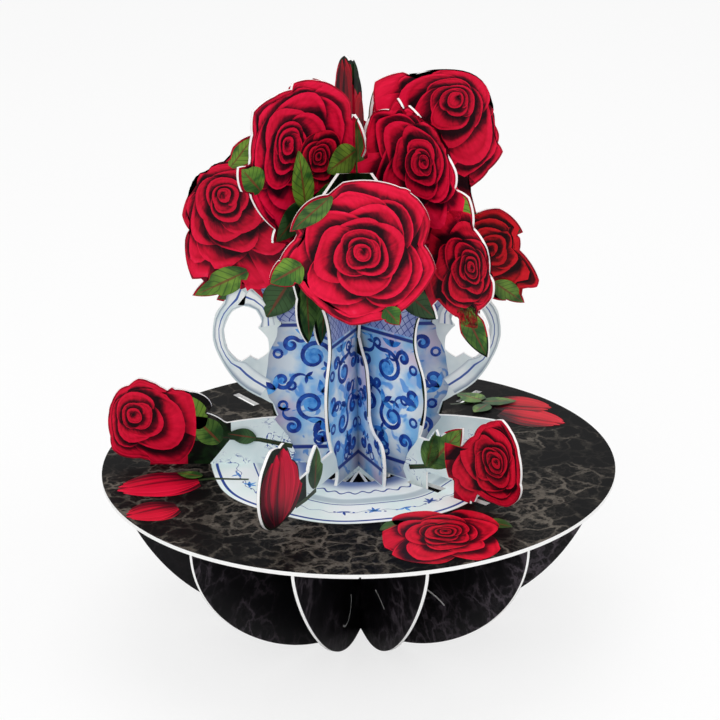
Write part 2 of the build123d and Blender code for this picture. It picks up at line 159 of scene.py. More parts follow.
camera = bpy.data.objects.new("camera", bpy.data.cameras.new("camera"))
camera.data.sensor_width = sensor_width
camera.data.lens = focal_pixels / image_width * sensor_width
camera.data.shift_x = (image_width / 2 - axis_pixel) / image_width
camera.data.clip_end = 20
camera.location = (0, -camera_back, table_top + camera_rise)
tilt = Matrix.Rotation(math.pi / 2 - camera_pitch, 4, "X")
roll = Matrix.Rotation(-camera_roll, 4, "Z")
camera.rotation_euler = (tilt @ roll).to_euler()
bpy.context.scene.collection.objects.link(camera)
bpy.context.scene.camera = camera
bpy.context.scene.view_settings.view_transform = "Standard"

world = bpy.data.worlds.new("studio")
world.use_nodes = True
bpy.context.scene.world = world
backdrop = world.node_tree.nodes["Background"]
backdrop.inputs["Color"].default_value = (1, 1, 1, 1)
seen = Wire(world.node_tree).node("LightPath", {}, {}, "Is Camera Ray")
seen = seen + seen.output("Is Glossy Ray") + seen.output("Is Transmission Ray")
feed(backdrop, Strength=seen.step(0, 1) * 0.35 + 0.65)


def soft_lamp(name, place, aim, width, power):
    lamp = bpy.data.objects.new(name, bpy.data.lights.new(name, "AREA"))
    lamp.data.shape = "DISK"
    lamp.data.size = width
    lamp.data.energy = power
    lamp.location = place
    lamp.rotation_euler = (Vector(aim) - Vector(place)).to_track_quat("-Z", "Y").to_euler()
    bpy.context.scene.collection.objects.link(lamp)


card_middle = (0, 0, cad_box[1][2] / 2)
soft_lamp("front_lamp", (-0.35, -1.0, 0.9), card_middle, width=0.8, power=4.6)
soft_lamp("side_lamp", (0.9, -0.3, 0.7), card_middle, width=0.7, power=1.6)
soft_lamp("top_lamp", (0, 0.1, 1.3), card_middle, width=1.0, power=4.2)

floor_reach = 4.0
bm = bmesh.new()
bmesh.ops.create_grid(bm, x_segments=1, y_segments=1, size=floor_reach)
mesh = bpy.data.meshes.new("floor")
bm.to_mesh(mesh)
bm.free()
floor = bpy.data.objects.new("floor", mesh)
bpy.context.scene.collection.objects.link(floor)
floor_finish, wire, floor_shader = finish_of("floor_white", 0.9)
floor_shader.inputs["Base Color"].default_value = (0.93, 0.93, 0.93, 1)
seen = wire.node("LightPath", {}, {}, "Is Camera Ray")
paper = Wire(wire.tree, floor_shader.outputs[0])
glow = wire.node("Emission", {}, {"Color": (1, 1, 1, 1), "Strength": 1})
blend = wire.node("MixShader", {}, {0: seen * 0.75, 1: paper, 2: glow})
feed(wire.tree.nodes["Material Output"], Surface=blend)
floor.data.materials.append(floor_finish)

# Boards: every sheet is die-cut from white coated board, so its cut edges and margins stay white.
# The finish goes on the sheets themselves, with a faint fibre mottle.


def shade(red, green, blue):
    """Colour as seen on a screen, 0 to 255, turned to light."""
    def linear(part):
        part = part / 255
        return part / 12.92 if part <= 0.04045 else ((part + 0.055) / 1.055) ** 2.4
    return (linear(red), linear(green), linear(blue))


def noise(wire, place, scale, detail, **more):
    """Cloudy noise over a surface."""
    return wire.node("TexNoise", {}, {"Vector": place, "Scale": scale, "Detail": detail, **more})


board_finish, wire, shader = finish_of("white_board", 0.55)
place = wire.node("TexCoord", {}, {}, "Object")
fibre = noise(wire, place, 900, 3)
mottle = fibre.over(shade(236, 236, 235), shade(250, 250, 249))
bump = wire.node("Bump", {}, {"Height": fibre, "Strength": 0.08, "Distance": 0.0002})
feed(shader, Base_Color=mottle, Normal=bump)
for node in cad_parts.values():
    node.data.materials.clear()
    node.data.materials.append(board_finish)

# Marble print of the bowl fins: black ink on both faces of each white board, inside a white cut margin.
# Each layer is laid on the board's own faces, so it follows every cut edge, slit and crease.
cut_margin = 0.5
ink_lift = 0.015
ink_depth = 0.03
same_way = 0.999
broad_share = 0.12


class Face:
    """One broad face of a board: its triangles, and flat coordinates in millimetres on it."""

    def __init__(self, normal, triangles):
        self.normal = normal
        self.triangles = triangles
        self.side = 0
        self.origin = Vector((0, 0, table_top))
        self.out = Vector((1, 0, 0))
        self.up = Vector((0, 0, 1))

    def area(self):
        return sum(((b - a).cross(c - a)).length / 2 for a, b, c in self.triangles)

    def depth(self):
        return self.normal.dot(self.triangles[0][0])

    def flat(self, point):
        """Place on the face, out from its crease and up from the table."""
        away = point - self.origin
        return (away.dot(self.out) / MM, away.dot(self.up) / MM)

    def at(self, out, up, lift):
        """Point in space over a place on the face."""
        place = self.origin + (self.out * out + self.up * up) * MM
        return place + self.normal * (self.depth() - self.normal.dot(place) + lift * MM)

    def cut_edges(self):
        """Edges of the face that belong to one triangle only, as pairs of flat places."""
        count = {}
        for triangle in self.triangles:
            for a, b in zip(triangle, triangle[1:] + triangle[:1]):
                ends = [tuple(round(v / MM, 3) for v in end) for end in (a, b)]
                key = tuple(sorted(ends))
                count[key] = count.get(key, 0) + 1
        return [[self.flat(Vector(end) * MM) for end in key] for key, times in count.items() if times == 1]


def broad_faces(name):
    """Broad faces of a sheet, each with its wing's crease as origin."""
    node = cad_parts[name]
    faces = []
    for polygon in node.data.polygons:
        corners = [node.data.vertices[index].co.copy() for index in polygon.vertices]
        normal = (corners[1] - corners[0]).cross(corners[2] - corners[0]).normalized()
        for face in faces:
            apart = abs(face.depth() - normal.dot(corners[0]))
            if face.normal.dot(normal) > same_way and apart < 0.1 * MM:
                face.triangles.append(corners)
                break
        else:
            faces.append(Face(normal, [corners]))
    largest = max(face.area() for face in faces)
    faces = [face for face in faces if face.area() > broad_share * largest]
    for face in faces:
        partner = next(other for other in faces if other.normal.dot(face.normal) < -same_way)
        middle = (face.depth() - partner.depth()) / 2
        if abs(face.normal.z) > 0.5:
            face.up = Vector((0, 1, 0))
        elif abs(face.normal.x) > 0.05:
            face.origin = Vector((0, middle / face.normal.y, table_top))
            centre = sum((corner for triangle in face.triangles for corner in triangle), Vector())
            face.side = 1 if centre.x > 0 else -1
            face.out = face.normal.cross(face.up)
            if face.out.x * face.side < 0:
                face.out = -face.out
    return faces


def make_piece(name, bm, finish):
    """Piece from a bmesh, outward normals, fixed to the card."""
    bmesh.ops.recalc_face_normals(bm, faces=bm.faces)
    mesh = bpy.data.meshes.new(name)
    bm.to_mesh(mesh)
    bm.free()
    piece = bpy.data.objects.new(name, mesh)
    bpy.context.scene.collection.objects.link(piece)
    mesh.materials.append(finish)
    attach(piece, "root")
    return piece


def ink_layer(name, faces, finish, slot):
    """Thin printed layer over broad faces, up to a white margin along their cut edges."""
    bm = bmesh.new()
    flat_map = bm.loops.layers.uv.new("flat")
    for face in faces:
        start = len(bm.faces)
        known = {}
        for triangle in face.triangles:
            corners = []
            for corner in triangle:
                key = tuple(round(v / MM, 3) for v in corner)
                if key not in known:
                    known[key] = bm.verts.new(corner)
                corners.append(known[key])
            if len(set(corners)) == 3 and not bm.faces.get(corners):
                bm.faces.new(corners)
        bm.faces.ensure_lookup_table()
        made = bm.faces[start:]
        if face.side:
            crease = min(face.flat(vert.co)[0] for vert in known.values())
            for vert in known.values():
                if face.flat(vert.co)[0] < crease + cut_margin / 10:
                    vert.co -= face.out * cut_margin * MM
        rim = bmesh.ops.inset_region(
            bm, faces=made, thickness=cut_margin * MM, use_boundary=True, use_even_offset=True
        )["faces"]
        bmesh.ops.delete(bm, geom=rim, context="FACES")
        bm.faces.ensure_lookup_table()
        made = bm.faces[start:]
        for vert in {vert for patch in made for vert in patch.verts}:
            vert.co += face.normal * (ink_lift * MM)
        for patch in made:
            for loop in patch.loops:
                out, up = face.flat(loop.vert.co)
                loop[flat_map].uv = (out * (face.side or 1), up)
        base = bmesh.ops.extrude_face_region(bm, geom=made)["geom"]
        for vert in base:
            if isinstance(vert, bmesh.types.BMVert):
                vert.co += face.normal * (ink_depth * MM)
    return make_piece(name, bm, finish)


def marble_colour(wire, place, base, vein, glow):
    """Black marble: distorted cell edges as veins, cloudy patches between them."""
    drift = noise(wire, place, 75, 5, Roughness=0.6).output("Color")
    sway = (0.016, 0.016, 0.016)
    bent = wire.node("VectorMath", {"operation": "MULTIPLY_ADD"}, {0: drift, 1: sway, 2: place})
    cells = wire.node("TexVoronoi", {"feature": "DISTANCE_TO_EDGE"}, {"Vector": bent, "Scale": 140})
    fine = wire.node("TexVoronoi", {"feature": "DISTANCE_TO_EDGE"}, {"Vector": bent, "Scale": 360})
    cloud = noise(wire, bent, 30, 4, Roughness=0.6)
    patch = cloud.step(0.4, 0.62)
    lines = (1 - cells.step(0.0, 0.13)) * (patch * 0.8 + 0.2) + (1 - fine.step(0.0, 0.2)) * patch * 0.45
    mask = (lines + patch * 0.1) * glow
    return mask.step(0.0, 1.0).over(base, vein)


fin_finish, wire, shader = finish_of("fin_marble", 0.4, 0.15)
place = wire.node("TexCoord", {}, {}, "Object")
feed(shader, Base_Color=marble_colour(wire, place, shade(13, 12, 15), shade(84, 76, 84), 0.5))
fins = [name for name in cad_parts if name.startswith("base_")]
for name in sorted(fins):
    ink_layer(name + "_print", broad_faces(name), fin_finish, "marble_board")

# Table print: marble with a china saucer printed round the opening, on the top of the disc.
# The saucer is mint white with blue rings and wavy lines round it, a grey shade at its well, and a painted
# blue shadow round the vase foot, partly the print's own.
saucer_edge = 45.0
saucer_well = 30.0
table_finish, wire, shader = finish_of("table_print", 0.5, 0.03)
place = wire.node("TexCoord", {}, {}, "Object")
stone = marble_colour(wire, place, shade(7, 7, 8), shade(100, 94, 86), 0.66)
axes = wire.node("SeparateXYZ", {}, {0: place})
x = axes / MM
y = axes.output(1) / MM
turn = wire.sum_node("ARCTAN2", y, x)
lobes = wire.node("Math", {"operation": "SINE"}, {0: turn * 8})
spread = wire.node("Math", {"operation": "SQRT"}, {0: x * x + y * y}) + lobes * 0.5
cloud = noise(wire, place, 60, 2)
china = cloud.step(0.3, 0.7).over(shade(234, 250, 247), shade(252, 255, 255))
# Painted shadow round the vase foot, partly the print's own dark blue: the well darkens toward the foot.
china = spread.step(23, 17).over(china, shade(120, 140, 186))


def ring(distance, radius, half_width):
    """Mask of a painted line at a distance from the middle."""
    return 1 - abs(distance - radius).step(half_width * 0.5, half_width * 1.5)


wave = wire.node("Math", {"operation": "SINE"}, {0: turn * 36})
motif = ring(spread + wave * 0.5, 37.2, 0.14) * 0.6
motif = motif + ring(spread, 43.2, 0.42) + ring(spread, saucer_well + 2, 0.24) * 0.8
motif = motif + ring(spread + wave * 0.7, 23.6, 0.34)
china = motif.step(0.1, 0.8).over(china, shade(44, 72, 150))
china = (ring(spread, saucer_well - 0.4, 1.6) * 0.6).over(china, shade(150, 170, 184))
table_colour = spread.step(saucer_edge + 0.15, saucer_edge - 0.15).over(stone, china)
feed(shader, Base_Color=table_colour)
top_face = [face for face in broad_faces("tabletop") if face.normal.z > 0.5]
ink_layer("table_print", top_face, table_finish, "marble_board")

# Print of the upright sheets: full-colour ink on both faces of each die-cut board, inside its white margin.
# Red lies under the blooms and dark foliage between them. The flat card has china handles and saucer, and
# its left end is leaves and marble.
handle_inner, handle_outer = 22.5, 48.0
saucer_left, saucer_right, saucer_rise = -38.5, 47.0, 14.6
strip_end, strip_start, strip_rise = -52.0, -36.0, 26.0
stone_start, stone_low = -42.0, 14.0
wing_saucer_span, wing_saucer_rise = 37.0, 19.0
red_ground = 1.5

# Rings of petals from the outside in: reach of the rims, petals, share of their pitch, width of the lip
open_rings = (
    (1.0, 5, 0.66, 0.05), (0.79, 5, 0.7, 0.13), (0.62, 4, 0.74, 0.16), (0.46, 4, 0.78, 0.18),
    (0.31, 3, 0.82, 0.22), (0.19, 3, 0.86, 0.28), (0.1, 2, 0.9, 0.34),
)
furled_rings = (
    (1.0, 3, 0.68, 0.06), (0.76, 3, 0.72, 0.12), (0.52, 3, 0.76, 0.16), (0.32, 2, 0.8, 0.2),
    (0.16, 2, 0.86, 0.3),
)
# Blooms, in millimetres: sheet, side, middle, half size, heart, turn, orange tone, dimness and rings
blooms = (
    ("front_rose_card", 0, (0, 76), (26, 26), (2.1, 78), 0.12, 0.1, 0.0, open_rings),
    ("back_rose_card", 0, (0, 76), (26, 26), (2.1, 78), 0.32, 0.1, 0.0, open_rings),
    ("front_outer_fold", -1, (20.5, 100), (24, 28), (25.7, 105.5), 0.05, 0.0, 0.02, open_rings),
    ("front_outer_fold", 1, (21.5, 98.5), (20, 23), (27, 100), 0.4, 0.1, 0.02, open_rings),
    ("front_outer_fold", 1, (41.5, 71), (13.5, 17), (44, 72.5), 0.7, 0.4, 0.12, open_rings),
    ("front_outer_fold", 1, (49.5, 14.7), (15.5, 16.5), (53.5, 14.8), 0.22, 0.4, 0.08, open_rings),
    ("cross_card", 0, (-35.5, 78.5), (20, 23), (-38.5, 86), 0.55, 0.1, 0.0, open_rings),
    ("cross_card", 0, (24.5, 103.5), (23, 24), (30, 114), 0.9, 0.1, 0.02, open_rings),
    ("cross_card", 0, (43.5, 66), (14.5, 15), (39, 68), 0.62, 0.9, 0.08, furled_rings),
    ("cross_card", 0, (-63.5, 14.4), (14.5, 15.5), (-68.5, 16.5), 0.85, 0.2, 0.06, furled_rings),
    ("back_outer_fold", 1, (18.6, 93), (18, 22), (24, 95), 0.3, 0.1, 0.0, open_rings),
    ("back_outer_fold", -1, (18.2, 94), (20, 27), (22, 98), 0.8, 0.0, 0.0, open_rings),
    ("back_outer_fold", 1, (28.5, 67), (9.5, 16), (29.5, 68), 0.45, 0.5, 0.08, furled_rings),
    ("back_outer_fold", -1, (28.5, 67), (9.5, 16), (29.5, 68), 0.1, 0.5, 0.08, furled_rings),
    ("tabletop", 0, (23.5, -54), (17, 18), (24.5, -51.5), 0.28, 0.5, 0.06, open_rings),
)


def across_of(wire, uv_map):
    """First coordinate of a piece's own map; the second is its output 1."""
    return wire.node("SeparateXYZ", {}, {0: wire.node("UVMap", {"uv_map": uv_map}, {})})


def bouquet_finish(name):
    """Print of an upright sheet, its fields told apart by the place on the sheet."""
    finish, wire, shader = finish_of(name + "_ink", 0.4, 0.12)
    out = across_of(wire, "flat")
    up = out.output(1)
    place = wire.node("TexCoord", {}, {}, "Object")
    blades = noise(wire, place, 150, 4, Distortion=1.2)
    leafage = blades.step(0.42, 0.62).over(shade(7, 9, 7), shade(20, 42, 18))
    leafage = blades.step(0.64, 0.76).over(leafage, shade(58, 92, 30))
    colour = leafage
    velvet = blades.step(0.3, 0.7).over(shade(128, 8, 30), shade(206, 16, 52))
    for sheet, side, middle, half, *rest in blooms:
        if sheet == name:
            x = (out - middle[0] * (side or 1)) / half[0]
            y = (up - middle[1]) / half[1]
            colour = (x * x + y * y < red_ground).over(colour, velvet)
    if "rose" in name:
        colour = velvet
    glaze = noise(wire, place, 70, 3)
    china = glaze.step(0.35, 0.7).over(shade(214, 232, 233), shade(246, 253, 251))
    curl = noise(wire, place, 210, 1, Distortion=2.5)
    motif = (1 - abs(curl - 0.5).step(0.012, 0.03)) * glaze.step(0.5, 0.56)
    china = motif.over(china, shade(62, 92, 164))
    span = abs(out)
    if name == "cross_card":
        crest = wire.sum_node("MINIMUM", span + 25.5, 99.7 - 1.2 * span)
        handle = (up < crest) * (span > handle_inner) * (span < handle_outer)
        pale = glaze.step(0.3, 0.7).over(shade(196, 212, 216), shade(238, 247, 245))
        colour = handle.over(colour, pale)
        fall = wire.sum_node("MAXIMUM", 8.5 - up, 0)
        strip = (up < strip_rise) * (out > strip_end)
        colour = (strip * (out < strip_start)).over(colour, leafage)
        saucer = (up < saucer_rise) * (out > saucer_left - fall * 0.8) * (out < saucer_right)
        colour = saucer.over(colour, china)
        stone = marble_colour(wire, place, shade(8, 8, 9), shade(104, 98, 90), 0.75)
        colour = (strip * (out < stone_start) * (up > stone_low)).over(colour, stone)
    else:
        colour = ((up < wing_saucer_rise) * (span < wing_saucer_span)).over(colour, china)
    feed(shader, Base_Color=colour)
    return finish


sheet_names = ("cross_card", "front_outer_fold", "front_inner_fold", "back_outer_fold", "back_inner_fold")
sheet_faces = {name: broad_faces(name) for name in sheet_names + ("front_rose_card", "back_rose_card")}
for face in sheet_faces["back_rose_card"]:
    face.out = Vector((-1, 0, 0))


def faces_of(name, side):
    return [face for face in sheet_faces[name] if face.side == side]


def slot_of(name):
    if name == "tabletop":
        return "marble_board"
    return "rose_board" if "rose" in name else "vase_board"


for name, faces in sheet_faces.items():
    ink_layer(name + "_print", faces, bouquet_finish(name), slot_of(name))
sheet_faces["tabletop"] = top_face


# China vase: painted half vases on the wings and a whole one on the flat card.
# Pale glaze, with painted shade and the print's own dark blue toward each wing's crease, under a neck band
# and cobalt scrolls, rings and sprigs.
vase_height = 57.5
belly_radius = 26.5
inner_belly_radius = 22.0
vase_profile_shares = (
    (0.755, 0.0), (0.7, 0.06), (0.745, 0.115), (0.93, 0.28), (1.0, 0.45),
    (0.965, 0.6), (0.86, 0.74), (0.855, 0.8), (1.03, 1.0),
)
neck_share = 0.755
narrow_wing = 12.0
narrow_height = 37.0
layer_step = 0.02


def vase_radius(up, radius):
    """Half width of the vase at a height, smooth between the shares of its profile."""
    share = min(max(up / vase_height, 0), 1)
    for (wide, low), (next_wide, high) in zip(vase_profile_shares, vase_profile_shares[1:]):
        if share <= high:
            part = (share - low) / (high - low)
            return radius * (wide + (next_wide - wide) * part * part * (3 - 2 * part))
    return radius * vase_profile_shares[-1][0]


def free_reach(edges, place, direction, limit):
    """Way from a place on a face to the white margin at its cut edge, at most a limit."""
    best = limit
    for (px, py), (qx, qy) in edges:
        ex, ey = qx - px, qy - py
        cross = direction[0] * ey - direction[1] * ex
        if abs(cross) < 1e-9:
            continue
        wx, wy = px - place[0], py - place[1]
        reach = (wx * ey - wy * ex) / cross
        part = (wx * direction[1] - wy * direction[0]) / cross
        if reach > 0 and -0.001 <= part <= 1.001:
            slant = max(abs(cross) / math.hypot(ex, ey), 0.35)
            best = min(best, reach - cut_margin / slant)
    return best


class Ink:
    """Printed patches gathered into one piece, with a shade and a tone at each point."""

    def __init__(self):
        self.bm = bmesh.new()
        self.uv = self.bm.loops.layers.uv.new("patch")
        self.shade = self.bm.verts.layers.float.new("shade")
        self.tone = self.bm.verts.layers.float.new("tone")

    def patch(self, face, grid, layer, shades=None, tone=0.0, tall=1.0):
        """Closed thin slab over a grid of places on a face."""
        rows, columns = len(grid), len(grid[0])
        lift = ink_lift + ink_depth + (layer + 1) * layer_step
        top = [[self.bm.verts.new(face.at(*place, lift)) for place in row] for row in grid]
        for j, row in enumerate(top):
            for i, vert in enumerate(row):
                vert[self.shade] = shades[j][i] if shades else 0.5
                vert[self.tone] = tone
        for j in range(rows - 1):
            for i in range(columns - 1):
                spots = ((j, i), (j, i + 1), (j + 1, i + 1), (j + 1, i))
                made = self.bm.faces.new([top[a][b] for a, b in spots])
                for loop, (a, b) in zip(made.loops, spots):
                    loop[self.uv].uv = (b / (columns - 1), a / (rows - 1) * tall)
        border = top[0] + [row[-1] for row in top[1:]]
        border += top[-1][-2::-1] + [row[0] for row in top[-2:0:-1]]
        base = [self.bm.verts.new(vert.co - face.normal * layer_step * MM) for vert in border]
        for vert, over in zip(base, border):
            vert[self.shade] = over[self.shade]
            vert[self.tone] = tone
        for k in range(len(border)):
            after = (k + 1) % len(border)
            self.bm.faces.new((border[k], border[after], base[after], base[k]))
        self.bm.faces.new(base)

    def stroke(self, face, path, half_widths, layer, limit=None, tone=0.0):
        """Tapered brush stroke along a path of places, kept inside a limit."""
        grid = []
        for index, (x, y) in enumerate(path):
            ahead = path[min(index + 1, len(path) - 1)]
            behind = path[max(index - 1, 0)]
            dx, dy = ahead[0] - behind[0], ahead[1] - behind[1]
            length = math.hypot(dx, dy) or 1.0
            width = half_widths(index / (len(path) - 1))
            sides = []
            for sign in (-1, 1):
                place = (x - sign * dy / length * width, y + sign * dx / length * width)
                sides.append(limit(*place) if limit else place)
            grid.append(sides)
        self.patch(face, grid, layer, tone=tone)

    def done(self, name, finish, slot):
        return make_piece(name, self.bm, finish)


def painted(wire, name):
    """Value painted on a patch's points: its shade or its tone."""
    return wire.node("Attribute", {"attribute_name": name}, {}, "Fac")


china_finish, wire, shader = finish_of("china_glaze", 0.35, 0.25)
across = across_of(wire, "patch")
height = across.output(1)
place = wire.node("TexCoord", {}, {}, "Object")
lit = painted(wire, "shade")
cloud = noise(wire, place, 110, 3)
colour = cloud.step(0.38, 0.62).over(shade(140, 204, 252), shade(238, 250, 255))
blush = noise(wire, place, 60, 2)
colour = (blush.step(0.54, 0.7) * 0.7).over(colour, shade(240, 210, 232))
wash = noise(wire, place, 190, 2, Distortion=0.8)
colour = (wash.step(0.58, 0.64) * 0.8).over(colour, shade(72, 156, 238))
weave = abs(wire.node("Math", {"operation": "SINE"}, {0: across * 26 + height * 62}))
cross_weave = abs(wire.node("Math", {"operation": "SINE"}, {0: across * 26 - height * 62}))
band = (cloud.step(0.4, 0.6) * 0.5 + 0.25).over(shade(126, 146, 214), shade(206, 216, 242))
trellis = (1 - weave.step(0.1, 0.3)) + (1 - cross_weave.step(0.1, 0.3))
band = trellis.step(0, 1).over(band, shade(52, 72, 162))
colour = height.step(0.79, 0.8).over(colour, band)
for level, width in ((0.775, 0.011), (0.085, 0.012)):
    colour = (1 - abs(height - level).step(width * 0.6, width * 1.2)).over(colour, shade(40, 58, 142))
# Painted shade: dark blue where a patch's shade value is low, in a wing's crease and at its foot, over the
# print's own blue; on the flat card, toward the vase's rim.
colour = lit.step(0.0, 1.0).over(shade(30, 52, 112), colour)
feed(shader, Base_Color=colour)

cobalt_finish, wire, shader = finish_of("cobalt_brush", 0.35, 0.25)
place = wire.node("TexCoord", {}, {}, "Object")
load = noise(wire, place, 420, 3)
deep = load.step(0.35, 0.7).over(shade(22, 46, 132), shade(40, 92, 186))
tint = painted(wire, "tone")
pale = load.step(0.35, 0.65).over(shade(44, 126, 216), shade(100, 176, 240))
feed(shader, Base_Color=tint.over(deep, pale))

vase_sheets = (
    ("cross_card", 0, belly_radius + 1.6), ("front_outer_fold", 1, belly_radius),
    ("front_inner_fold", -1, inner_belly_radius), ("front_inner_fold", 1, belly_radius),
    ("back_outer_fold", 1, belly_radius), ("back_outer_fold", -1, belly_radius),
    ("back_inner_fold", 1, belly_radius), ("back_inner_fold", -1, belly_radius),
)
# Scrolls of a half vase: share of the half width, share of the height, radius, first turn, hand, tail
scroll_shares = (
    (0.48, 0.6, 0.2, 0.1, 1, 1.7), (0.56, 0.33, 0.17, 0.6, -1, 1.8), (0.15, 0.62, 0.1, 0.4, -1, 1.6),
    (0.18, 0.38, 0.115, 0.2, 1, 1.6), (0.82, 0.47, 0.1, 0.8, -1, 1.9), (0.24, 0.17, 0.1, 0.9, 1, 1.6),
    (0.78, 0.67, 0.085, 0.3, 1, 1.6), (0.84, 0.21, 0.09, 0.1, -1, 1.5), (0.52, 0.16, 0.08, 0.4, 1, 1.5),
    (0.3, 0.5, 0.06, 0.7, -1, 1.6),
)
ring_shares = ((0.9, 0.62), (0.72, 0.44), (0.36, 0.72), (0.9, 0.33), (0.12, 0.27), (0.58, 0.13))
sprig_shares = (
    (0.62, 0.72, 0.25), (0.24, 0.75, 0.3), (0.4, 0.4, 0.1), (0.9, 0.42, 0.4), (0.45, 0.24, 0.65),
)


def bow(start, heading, length, bend, count=8):
    """Path of places from a start, its heading turning evenly."""
    path = [start]
    for step in range(count):
        heading += bend / count
        x, y = path[-1]
        path.append((x + length / count * math.cos(heading), y + length / count * math.sin(heading)))
    return path


def end_heading(path):
    """Direction in which a path ends."""
    (x, y), (end_x, end_y) = path[-2:]
    return math.atan2(end_y - y, end_x - x)


def circle(eye, radius, count):
    """Closed path of places round an eye."""
    turns = [math.tau * k / count for k in range(count + 1)]
    return [(eye[0] + radius * math.cos(turn), eye[1] + radius * math.sin(turn)) for turn in turns]


def blade_width(half_width, begin=0.1):
    """Half widths of a blade along its path, pointed at its tip."""
    return lambda part: half_width * math.sin(math.pi * (begin + (0.98 - begin) * part))


class HalfVase:
    """Half of a vase on a face, painted from its crease or middle line out to the white margin."""

    def __init__(self, face, side, sign, radius):
        self.face = face
        self.edges = face.cut_edges()
        self.side = side
        self.sign = sign
        self.radius = radius
        self.start = min(min(p[0], q[0]) for p, q in self.edges) + 0.02 if side else 0.0
        self.narrow = self.reach(40.0) < narrow_wing
        self.top = narrow_height if self.narrow else vase_height - 1.0

    def reach(self, up):
        """Painted half width at a height."""
        free = free_reach(self.edges, (self.start + 0.05, up), (self.sign, 0), 90.0)
        return max(min(vase_radius(up, self.radius) - cut_margin, self.start + free), self.start + 0.4)

    def limit(self, out, up):
        """Place brought inside the painted half, under the neck band."""
        up = min(max(up, 1.0), self.top - 0.3, neck_share * vase_height)
        wide = self.reach(up) - 0.1
        return (self.sign * min(max(self.sign * out, self.start + 0.1), wide), up)

    def spot(self, across, share):
        """Place by shares of the half width and of the vase's height."""
        up = share * vase_height
        return (self.sign * (self.start + (self.reach(up) - self.start) * across), up)


def paint_glaze(ink, half):
    """Glaze of a half vase: painted shade over the print's dark blue at a wing's crease and foot, darker
    toward the rim of the flat card's vase.
    """
    rows, columns = 40, 14
    parts = [i / columns for i in range(columns + 1)]
    grid, shades = [], []
    for j in range(rows + 1):
        up = 0.4 + (half.top - 0.4) * j / rows
        width = half.reach(up) - half.start
        grid.append([(half.sign * (half.start + width * part), up) for part in parts])
        # Painted shade, over the print's own dark blue: a wing darkens toward its foot and its crease; the
        # flat card's vase darkens toward its rim.
        foot = 1 - 0.4 * max(0, 1 - up / 16.0)
        if half.side:
            lit = [(0.5 + 0.5 * min(1, part / 0.45)) * (1 - 0.3 * part ** 4) * foot for part in parts]
        else:
            lit = [0.95 - 0.5 * part ** 3 for part in parts]
        shades.append(lit)
    ink.patch(half.face, grid, 0, shades, tall=half.top / vase_height)


def scroll(ink, half, eye, radius, first, hand, tail):
    """Volute from its eye outward, with a tail that bends the other way and ends in leaves."""
    rounds = 26
    path = []
    for k in range(rounds + 1):
        angle = math.tau * (first + hand * 1.2 * k / rounds)
        reach = radius * (0.25 + 0.75 * k / rounds)
        path.append((eye[0] + reach * math.cos(angle), eye[1] + reach * math.sin(angle)))
    path += bow(path[-1], end_heading(path), radius * tail, -hand * 1.9, 12)[1:]
    ink.stroke(half.face, path, lambda part: 0.2 + 0.5 * math.sin(math.pi * part) ** 0.8, 2, half.limit)
    blob = [[half.limit(*place) for place in circle(eye, reach, 12)] for reach in (0.02, radius * 0.5)]
    ink.patch(half.face, blob, 1, tone=1.0)
    for turn, tone in ((-0.8, 0.0), (0.1, 1.0), (0.9, 0.0)):
        blade = bow(path[-1], end_heading(path) + turn, radius * 0.9, turn * 0.5, 6)
        ink.stroke(half.face, blade, blade_width(radius * 0.2, 0.12), 3, half.limit, tone)


def paint_scrolls(ink, half):
    """Scrolls, rings and sprigs of a half vase; a narrow one has only the small scrolls."""
    scale = 0.6 if half.narrow else 1.0
    for across, share, size, first, hand, tail in scroll_shares:
        if not half.narrow or size < 0.12:
            eye = half.spot(across, share)
            scroll(ink, half, eye, size * half.radius * scale, first, hand * half.sign, tail)
    for across, share in ring_shares:
        loop = circle(half.spot(across, share), 1.25, 16)
        ink.stroke(half.face, loop, lambda part: 0.42 * scale, 3, half.limit)
    for across, share, turn in sprig_shares:
        for lean, tone in ((-0.14, 1.0), (0.0, 0.0), (0.14, 1.0)):
            blade = bow(half.spot(across, share), math.tau * (turn + lean), 4.2 * scale, lean * 2, 6)
            ink.stroke(half.face, blade, blade_width(0.9 * scale), 3, half.limit, tone)


for name, side, radius in vase_sheets:
    glaze = Ink()
    brush = Ink()
    for face in faces_of(name, side):
        for sign in (1,) if side else (1, -1):
            half = HalfVase(face, side, sign, radius)
            paint_glaze(glaze, half)
            paint_scrolls(brush, half)
    glaze.done("%s_vase_%d" % (name, side + 1), china_finish, "vase_board")
    brush.done("%s_scrolls_%d" % (name, side + 1), cobalt_finish, "vase_board")

# Sprigs of the saucer: painted in the same blue on its broad rim, between the slots.
# Each is a fan of small blades with a dot to either side.
sprig_radius = 37.0
dot_radius = 37.2
sprig_turns = (
    -97, -83, -69, -55, -27, -14, 14, 27, 40, 68, 83, 97, 112, 140, 153, 166, -166, -153, -140, -130,
)
brush = Ink()
for number, turn in enumerate(sprig_turns):
    angle = math.radians(turn)
    inward = number % 2
    root = (sprig_radius * math.cos(angle), sprig_radius * math.sin(angle))
    for lean in (-1.25, -0.55, 0.1, 0.7, 1.4) if inward else (-0.9, 0.2, 1.1):
        blade = bow(root, angle + math.pi * inward + lean, 2.9 - 0.6 * abs(lean), lean * 0.8, 6)
        brush.stroke(top_face[0], blade, blade_width(0.42), 0, tone=number % 3 / 2)
    for dot in (angle - 0.075, angle + 0.075):
        spot = (dot_radius * math.cos(dot), dot_radius * math.sin(dot))
        brush.stroke(top_face[0], bow(spot, dot, 0.9, 1.5, 4), blade_width(0.36), 0)
brush.done("saucer_sprigs", cobalt_finish, "marble_board")

